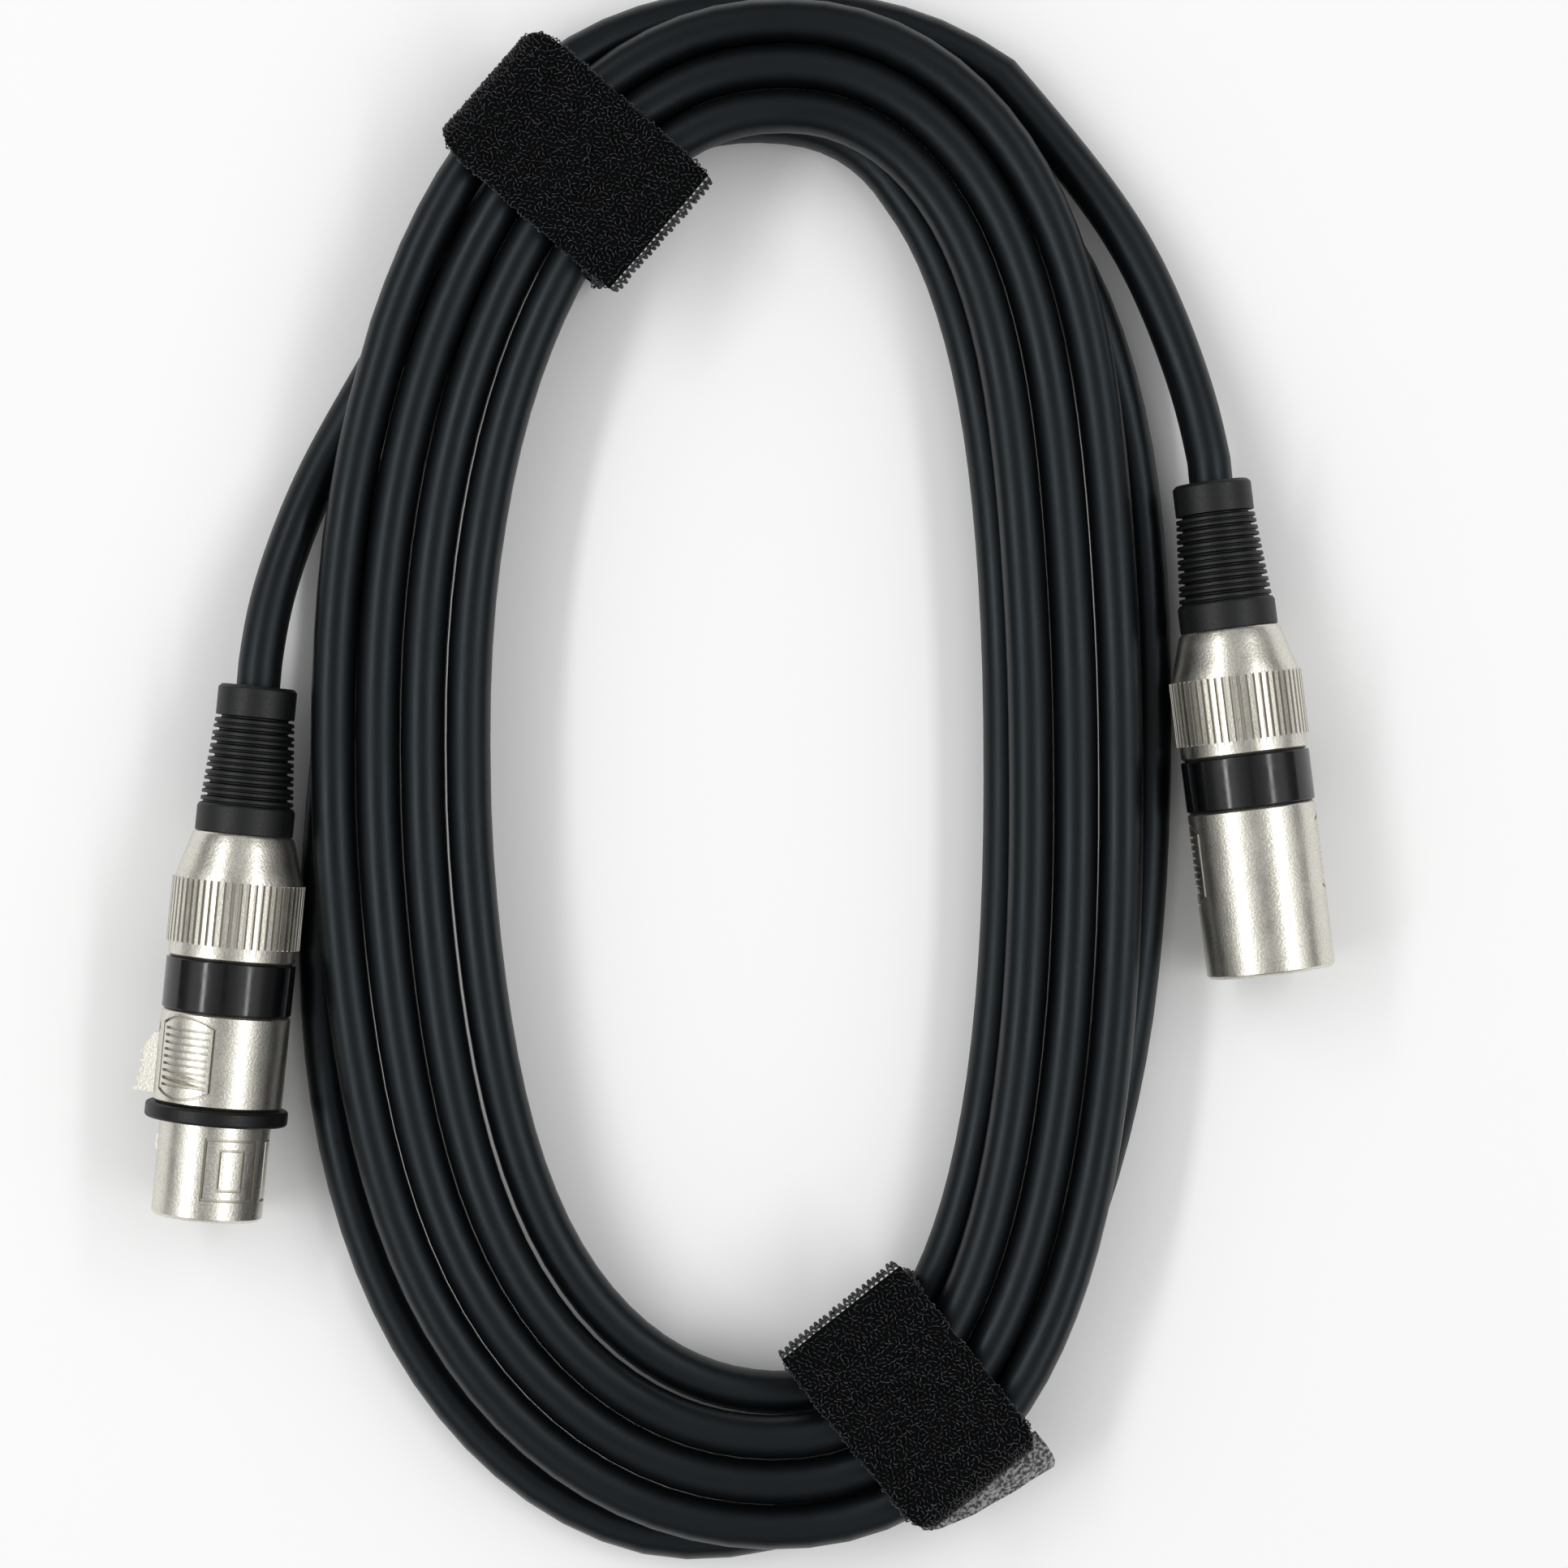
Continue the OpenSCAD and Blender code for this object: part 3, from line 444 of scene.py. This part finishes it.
def moulded(name, colour_code, roughness, grain_scale, depth, specular=0.5):
    """A moulded plastic or rubber with a mould texture of 1 / grain_scale metres."""
    material, tree, shader, coords = new_material(name)
    grain = add(tree, "TexNoise", [("Vector", coords, "Object")], [("Scale", grain_scale), ("Detail", 3)])
    relief = add(tree, "Bump", [("Height", grain, "Fac")], [("Strength", depth), ("Distance", 0.0001)])
    worn = add(
        tree, "MapRange", [("Value", grain, "Fac")],
        [("From Min", 0.3), ("From Max", 0.7), ("To Min", roughness - 0.05), ("To Max", roughness + 0.06)],
    )
    tree.links.new(relief.outputs["Normal"], shader.inputs["Normal"])
    tree.links.new(worn.outputs["Result"], shader.inputs["Roughness"])
    shader.inputs["Base Color"].default_value = linear(colour_code)
    shader.inputs["Specular IOR Level"].default_value = specular
    return material


# Soft PVC out of a blasted mould: black and matt, with dim wide highlights on its ribs
boot_rubber = moulded("moulded_soft_pvc", "#07090b", 0.48, 2600, 0.25, 0.42)
for side in lines:
    refined(side + "_ribbed_boot", side + "_boot", "cable", boot_rubber, 0.0001)

# ---------------------------------------------------------------- coding rings
# A ring moulded in ABS and clipped between shell and bushing. Such rings come in several
# colours, which tell one line from another.

# Polished black ABS: it mirrors the lamps as narrow bright stripes
gloss_ring = moulded("polished_black_abs", "#08090b", 0.14, 600, 0.03)
for side in lines:
    refined(side + "_coding_ring", side + "_band", "cable", gloss_ring, 0.0002)

# ---------------------------------------------------------------- release latch
# A die-cast lever with a ribbed thumb block, plated like the shell. It rocks on a pin
# through the female shell, and a small coiled spring in its pocket pushes it out.
refined("latch_thumb_lever", "latch_lever", "latch", pearl_nickel, 0.0001)


def finish(node, material):
    """Gives a CAD node its material."""
    nodes[node].data.materials.clear()
    nodes[node].data.materials.append(material)


# Drawn steel wire, for the pin as well: bright and grey, with sharp highlights
spring_wire = plated("drawn_spring_wire", "#c6c6c4", 0.25)
finish("latch_pin", spring_wire)
finish("latch_spring", spring_wire)

# ---------------------------------------------------------------- seal ring
# A nitrile ring, stretched into the groove between the female shell's body and barrel,
# which closes the joint to a socket.

# Moulded nitrile: the blackest piece, matt, with one soft highlight round it
seal_rubber = moulded("moulded_nitrile", "#050506", 0.42, 2600, 0.15, 0.36)
finish("seal_ring", seal_rubber)

# ---------------------------------------------------------------- insulators and contacts
# A moulded insert in each shell holds three contacts, pressed in: sockets in the female
# one, pins in the male one, each with a solder cup at its back.

# Glass-filled nylon, moulded: black with a grey bloom, because fibres lie in its skin
black_nylon = moulded("glass_filled_nylon", "#0d0e10", 0.48, 2400, 0.2)
# Brass, turned and tinned: pale, a little warm and bright
tinned_brass = plated("tinned_brass", "#d6d2c4", 0.22)
finish("female_insulator", black_nylon)
finish("male_insulator", black_nylon)
finish("female_sockets", tinned_brass)
finish("male_pins", tinned_brass)

# ---------------------------------------------------------------- chucks and cable ends
# Inside each bushing a split chuck grips the end of the jacket, and the three cores fan
# out of it to the solder cups.

# Natural acetal, moulded: milky white and waxy
natural_acetal = moulded("natural_acetal", "#dedace", 0.4, 1200, 0.1)
# Extruded core insulation: red, smooth and glossy
core_sleeve = moulded("extruded_core_insulation", "#9c1c18", 0.3, 900, 0.05)
for side in lines:
    finish(side + "_chuck", natural_acetal)
    finish(side + "_cable_end", pvc_jacket)
    finish(side + "_cores", core_sleeve)

# The cable leaves the female connector, and the male one is what lies on its far end
far_end = [
    bpy.data.objects["male_" + name]
    for name in ("die_cast_shell", "knurled_bushing", "ribbed_boot", "coding_ring")
]
far_end += [nodes["male_" + name] for name in ("insulator", "pins", "chuck", "cable_end", "cores")]

# ---------------------------------------------------------------- straps
# Two lengths of black nylon hook-and-loop tape, each wound once round the bundle and
# lapped over its own start, with a raw end whose loops stand out. The lower one has a
# short tail that has peeled off on the outside and shows its grey plush.
strap_w = 0.022
tape_t = 0.0012
# The tape's middle line: its gap to strands and table, its height over the bundle and
# over its own start, and its corners, which go round the outermost strands
seat_gap = 0.0003
tape_off = 0.0008
tape_top = 0.01655
tape_lap = 0.01785
tape_bend = cable_d / 2 + seat_gap + tape_off
# Where the outermost strand pulls the tape round, it draws in: how much, over how far
drawn_in = 0.0036
drawn_over = 0.0034
# Mesh of the tape, the rows of loops on it, and how far they stray
weave_pitch = 0.0006
tape_columns = 36
row_pitch = 0.00066
loops_across = 29
fringe_pitch = 0.0009
fringe_loops = 24
scatter = 0.0001
rng = random.Random(7)

# Knitted nylon ground: dead matt and black, because the light is caught between its
# loops. Its courses are 0.7 mm apart, drawn a little coarse so that they show.
knit_tape, tree, shader, coords = new_material("knitted_nylon_tape")
stitches = add(
    tree, "TexVoronoi", [("Vector", coords, "Object")], [("Scale", 1500), ("Randomness", 0.6)],
)
relief = add(
    tree, "Bump", [("Height", stitches, "Distance")], [("Strength", 0.6), ("Distance", 0.0003)],
)
tree.links.new(relief.outputs["Normal"], shader.inputs["Normal"])
shader.inputs["Base Color"].default_value = linear("#040506")
shader.inputs["Roughness"].default_value = 0.9
shader.inputs["Specular IOR Level"].default_value = 0.1

# Round nylon filament, drawn twice as thick as the real one: black, with lighter grey patches painted into
# its colour as glints on the loops
nylon_loop_with_painted_glints, tree, shader, coords = new_material("nylon_filament_with_painted_glints")
haze = add(tree, "TexNoise", [("Vector", coords, "Object")], [("Scale", 700), ("Detail", 2)])
shade = add(
    tree, "MapRange", [("Value", haze, "Fac")],
    [("From Min", 0.35), ("From Max", 0.65), ("To Min", 0), ("To Max", 1)],
)
# Painted highlight: the lighter grey stands in for glints on the black loops
colour = add(
    tree, "Mix", [(0, shade, "Result")],
    [(6, linear("#08090b")), (7, linear("#3c3d42"))], data_type="RGBA",
)
tree.links.new(colour.outputs[2], shader.inputs["Base Color"])
shader.inputs["Roughness"].default_value = 0.4

# Brushed plush of fine curled nylon hairs in tufts of half a millimetre, grey where the
# light passes through them
grey_plush, tree, shader, coords = new_material("brushed_nylon_plush")
hairs = add(tree, "TexNoise", [("Vector", coords, "Object")], [("Scale", 1800), ("Detail", 3)])
colour = add(tree, "ValToRGB", [("Fac", hairs, "Fac")])
colour.color_ramp.elements[0].position = 0.42
colour.color_ramp.elements[0].color = linear("#3a3b3c")
colour.color_ramp.elements[1].position = 0.6
colour.color_ramp.elements[1].color = linear("#a3a4a2")
relief = add(tree, "Bump", [("Height", hairs, "Fac")], [("Strength", 0.8), ("Distance", 0.0003)])
tree.links.new(colour.outputs["Color"], shader.inputs["Base Color"])
tree.links.new(relief.outputs["Normal"], shader.inputs["Normal"])
shader.inputs["Roughness"].default_value = 0.85


def corner(x, z, r, start):
    """A quarter turn to the left of a line seen from its end, as points."""
    turns = [math.radians(start + 15 * i) for i in range(7)]
    return [(x + r * math.cos(a), z + r * math.sin(a)) for a in turns]


class Tape:
    """A tape laid along a line of (outward, up) points, at a place on the coil."""

    def __init__(self, centre, across, line):
        self.centre, self.across, self.line = centre, across, line
        self.side = Vector((-across.y, across.x, 0))
        self.marks = [0]
        for (ax, az), (bx, bz) in zip(line, line[1:]):
            self.marks.append(self.marks[-1] + math.hypot(bx - ax, bz - az))
        self.length = self.marks[-1]

    def at(self, distance, sideways, lift=0):
        """Point on the tape, with its direction and its outward normal."""
        i = max(k for k in range(len(self.marks) - 1) if self.marks[k] <= distance or k == 0)
        (ax, az), (bx, bz) = self.line[i], self.line[i + 1]
        gap = self.marks[i + 1] - self.marks[i]
        u = (distance - self.marks[i]) / gap
        dx, dz = (bx - ax) / gap, (bz - az) / gap
        run = self.across * dx + Vector((0, 0, dz))
        out = self.across * dz + Vector((0, 0, -dx))
        flat = self.across * (ax + dx * u * gap) + Vector((0, 0, az + dz * u * gap))
        return self.centre + flat + self.side * sideways + out * lift, run, out


def lay_tape(name, tape, width_at, material, share_at=lambda side: 1):
    """A grid rolled along the tape's line, or along a share of it, and made thick."""
    rows = round(tape.length / weave_pitch)
    bpy.ops.object.select_all(action="DESELECT")
    bpy.ops.mesh.primitive_grid_add(x_subdivisions=rows, y_subdivisions=tape_columns, size=2)
    made = bpy.context.object
    made.name = name
    for vertex in made.data.vertices:
        distance = (vertex.co.x + 1) / 2 * tape.length * share_at(vertex.co.y)
        sideways = vertex.co.y * width_at(distance) / 2
        # The tape cockles by a tenth of a millimetre, in waves 7 mm long
        wave = 0.00012 * math.sin(distance * 900 + sideways * 260) * math.sin(sideways * 410)
        vertex.co = tape.at(distance, sideways, wave)[0]
    wall = made.modifiers.new("thickness", "SOLIDIFY")
    wall.thickness = tape_t
    wall.offset = 0
    bpy.ops.object.modifier_apply(modifier=wall.name)
    bpy.ops.object.shade_smooth_by_angle(angle=math.radians(50))
    made.data.materials.append(material)
    return made


def loop_shape():
    """Half a ring of filament that stands on its two ends, as points and faces."""
    bpy.ops.object.select_all(action="DESELECT")
    bpy.ops.mesh.primitive_torus_add(
        major_segments=10, minor_segments=4, major_radius=1, minor_radius=0.24,
        rotation=(math.pi / 2, 0, 0),
    )
    made = bpy.context.object
    bpy.ops.object.transform_apply(rotation=True)
    bpy.ops.object.mode_set(mode="EDIT")
    bpy.ops.mesh.select_all(action="SELECT")
    bpy.ops.mesh.bisect(plane_co=(0, 0, -0.02), plane_no=(0, 0, -1), clear_outer=True)
    bpy.ops.object.mode_set(mode="OBJECT")
    points = [v.co.copy() for v in made.data.vertices]
    faces = [tuple(f.vertices) for f in made.data.polygons]
    bpy.data.objects.remove(made)
    return points, faces


def stand_loops(name, places, material):
    """One mesh of many loops; a place is (point, span, up, half span, height)."""
    points, faces = loop_shape()
    verts, polys = [], []
    for place, span, up, half, height in places:
        base = len(verts)
        third = up.cross(span)
        verts += [place + span * (p.x * half) + third * (p.y * half) + up * (p.z * height) for p in points]
        polys += [tuple(base + i for i in f) for f in faces]
    data = bpy.data.meshes.new(name)
    data.from_pydata(verts, [], polys)
    data.shade_smooth()
    data.materials.append(material)
    made = bpy.data.objects.new(name, data)
    scene.collection.objects.link(made)
    return made


def pile(tape, width_at, covered):
    """Places for the loops of the tape's outer face, where it is in the open: staggered
    rows, turned more or less one way, and at both edges loops that hang out sideways."""
    places = []
    for i in range(round(tape.length / row_pitch)):
        distance = i * row_pitch
        point, run, out = tape.at(distance, 0)
        if distance < covered or out.z < -0.5:
            continue
        stagger = (i % 2) / 2 - 0.25
        for k in range(loops_across):
            sideways = (k - (loops_across - 1) / 2 + stagger) * width_at(distance) / loops_across
            sideways += rng.uniform(-1, 1) * scatter
            point, run, out = tape.at(distance + rng.uniform(0, 0.0002), sideways, tape_t / 2 - 0.0001)
            span = Matrix.Rotation(rng.gauss(0.6, 0.9), 3, out) @ run
            lean = (out + 0.5 * rng.uniform(-1, 1) * out.cross(span)).normalized()
            places.append((point, span, lean, rng.uniform(0.00028, 0.00038), rng.uniform(0.0004, 0.0006)))
        for edge in (-1, 1):
            sideways = edge * (width_at(distance) / 2 - 0.0001)
            point, run, out = tape.at(distance + rng.uniform(0, 0.0003), sideways)
            lean = (tape.side * edge + rng.uniform(-0.3, 0.8) * out).normalized()
            span = (run + rng.uniform(-0.5, 0.5) * out).normalized()
            places.append((point, span, lean, rng.uniform(0.0003, 0.0004), rng.uniform(0.0003, 0.0007)))
    return places


def fringe(tape):
    """Places for the longer loops that stand out of the tape's raw end in one even row,
    and for a few short ones over it."""
    places = []
    for k in range(fringe_loops):
        for layer, longest in ((-0.0002, 0.0016), (0.0004, 0.0009)):
            sideways = (k - (fringe_loops - 1) / 2) * fringe_pitch + rng.uniform(-1, 1) * scatter
            point, run, out = tape.at(tape.length - 0.0003, sideways, layer)
            sway = 0.1 * rng.uniform(-1, 1) * tape.side
            lift = 0.15 * rng.uniform(-1, 0.6) * out
            reach = (run + sway + lift).normalized()
            span = (tape.side + 0.3 * rng.uniform(-1, 1) * out).normalized()
            span = (span - reach * span.dot(reach)).normalized()
            places.append((point, span, reach, 0.00048, longest * rng.uniform(0.85, 1)))
    return places


def peel_tail(centre, across, outer):
    """A wedge of tape that bows down from the bundle's outer side, plush side up. It
    narrows a little towards its end, and comes out further on one side."""
    tail = Tape(centre, across, [
        (outer + 0.0004, 0.0112), (outer + 0.0022, 0.0111), (outer + 0.0038, 0.0103),
        (outer + 0.0052, 0.009), (outer + 0.0062, 0.0076),
    ])
    flap = lay_tape(
        "peeled_tail", tail, lambda distance: strap_w * (1 - 0.12 * (distance / tail.length) ** 4),
        grey_plush, lambda side: 0.12 + 0.88 * (0.5 + side / 2) ** 0.7,
    )
    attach(flap, "cable")
    return flap


def strap(name, node, angle, turn, peeled):
    """Winds one strap round the bundle at an angle of the oval, turned off square."""
    normal = outward(angle)
    heading = math.atan2(normal.y, normal.x) + math.radians(turn)
    across = Vector((math.cos(heading), math.sin(heading), 0))
    centre = (coil_at + oval(angle)).to_3d()
    # The strands that it holds, as far as they lie across it
    arms = [p - centre for p in coil_route]
    along_cable = Vector((-across.y, across.x, 0))
    held = [
        arm.dot(across) for arm in arms
        if abs(arm.dot(along_cable)) < strap_w / 2 + 0.0005 and abs(arm.dot(across)) < coil_half_w
    ]
    inner = min(held) - cable_d / 2 - seat_gap
    outer = max(held) + cable_d / 2 + seat_gap
    left, right, low, r = inner - tape_off, outer + tape_off, tape_off, tape_bend
    # Once round, then over its own start to the raw end, which droops past the bundle
    line = [(right - r, tape_top)]
    line += corner(left + r, tape_top - r, r, 90) + corner(left + r, low + r, r, 180)
    line += corner(right - r, low + r, r, 270) + corner(right - r, tape_lap - r, r, 0)
    line += [(left, tape_lap), (inner - 0.003, tape_lap - 0.0001), (inner - 0.0042, tape_lap - 0.0004)]
    tape = Tape(centre, across, line)

    def width_at(distance):
        """The tape draws in a little where it is pulled round the outermost strand."""
        reach = (tape.at(distance, 0)[0] - centre).dot(across)
        return strap_w - drawn_in * max(0, (reach - right + drawn_over) / drawn_over) ** 2

    made = lay_tape(name, tape, width_at, knit_tape)
    loops = stand_loops(name + "_loops", pile(tape, width_at, outer - inner - r) + fringe(tape), nylon_loop_with_painted_glints)
    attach(made, "cable")
    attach(loops, "cable")
    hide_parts(node)
    if peeled:
        peel_tail(centre, across, outer)


strap("upper_strap_tape", "upper_strap", 120.5, 0, peeled=False)
strap("lower_strap_tape", "lower_strap", 291.5, -5, peeled=True)

# ---------------------------------------------------------------- table and light
# A white table under a ring of soft light, with a strip lamp on each side of it. The
# ring is dim in its middle, so that every strand has two soft highlights on its top.
bpy.ops.object.select_all(action="DESELECT")
bpy.ops.mesh.primitive_plane_add(size=20, location=(0, 0, -0.0002))
table_top = bpy.context.object
table_top.name = "white_table"
# Matt white emulsion: no highlight, only the object's soft shadow
painted_table, tree, shader, coords = new_material("matt_white_table")
shader.inputs["Base Color"].default_value = linear("#ffffff")
shader.inputs["Roughness"].default_value = 0.9
shader.inputs["Specular IOR Level"].default_value = 0
table_top.data.materials.append(painted_table)

# The ring's brightness by height: 0 is the horizon, 1 is straight overhead
ring_light = ((0, 0.1), (0.3, 0.25), (0.5, 0.8), (0.85, 1), (0.93, 0.6), (1, 0.35))
world = bpy.data.worlds.new("light_ring")
world.use_nodes = True
tree = world.node_tree
room = tree.nodes["Background"]
direction = add(tree, "TexCoord")
axes = add(tree, "SeparateXYZ", [("Vector", direction, "Generated")])
ring = add(tree, "ValToRGB", [("Fac", axes, "Z")])
stops = ring.color_ramp.elements
for place, brightness in ring_light[1:-1]:
    stops.new(place)
for stop, (place, brightness) in zip(stops, ring_light):
    stop.color = (brightness, brightness, brightness, 1)
# It is brighter to the left and right than towards the coil's two ends
to_sides = add(tree, "Math", [(0, axes, "X")], [(1, 2)], operation="POWER")
to_ends = add(tree, "Math", [(0, axes, "Y")], [(1, 2)], operation="POWER")
both = add(tree, "Math", [(0, to_sides, "Value"), (1, to_ends, "Value")], operation="ADD")
share = add(tree, "Math", [(0, to_sides, "Value"), (1, both, "Value")], operation="DIVIDE")
strength = add(tree, "MapRange", [("Value", share, "Value")], [("To Min", 0.5), ("To Max", 1.25)])
tree.links.new(ring.outputs["Color"], room.inputs["Color"])
tree.links.new(strength.outputs["Result"], room.inputs["Strength"])
scene.world = world


def strip_lamp(name, place, watts):
    """A long soft box at a place above the table, pointed at the coil."""
    data = bpy.data.lights.new(name, "AREA")
    data.shape = "RECTANGLE"
    data.size = 1.2
    data.size_y = 0.1
    data.energy = watts
    made = bpy.data.objects.new(name, data)
    made.location = place
    made.rotation_euler = (-Vector(place)).to_track_quat("-Z", "Y").to_euler()
    scene.collection.objects.link(made)


strip_lamp("left_lamp", (-0.6, 0.1, 0.75), 2.8)
strip_lamp("right_lamp", (0.6, 0, 0.75), 2.1)

# ---------------------------------------------------------------- end
bpy.context.view_layer.update()
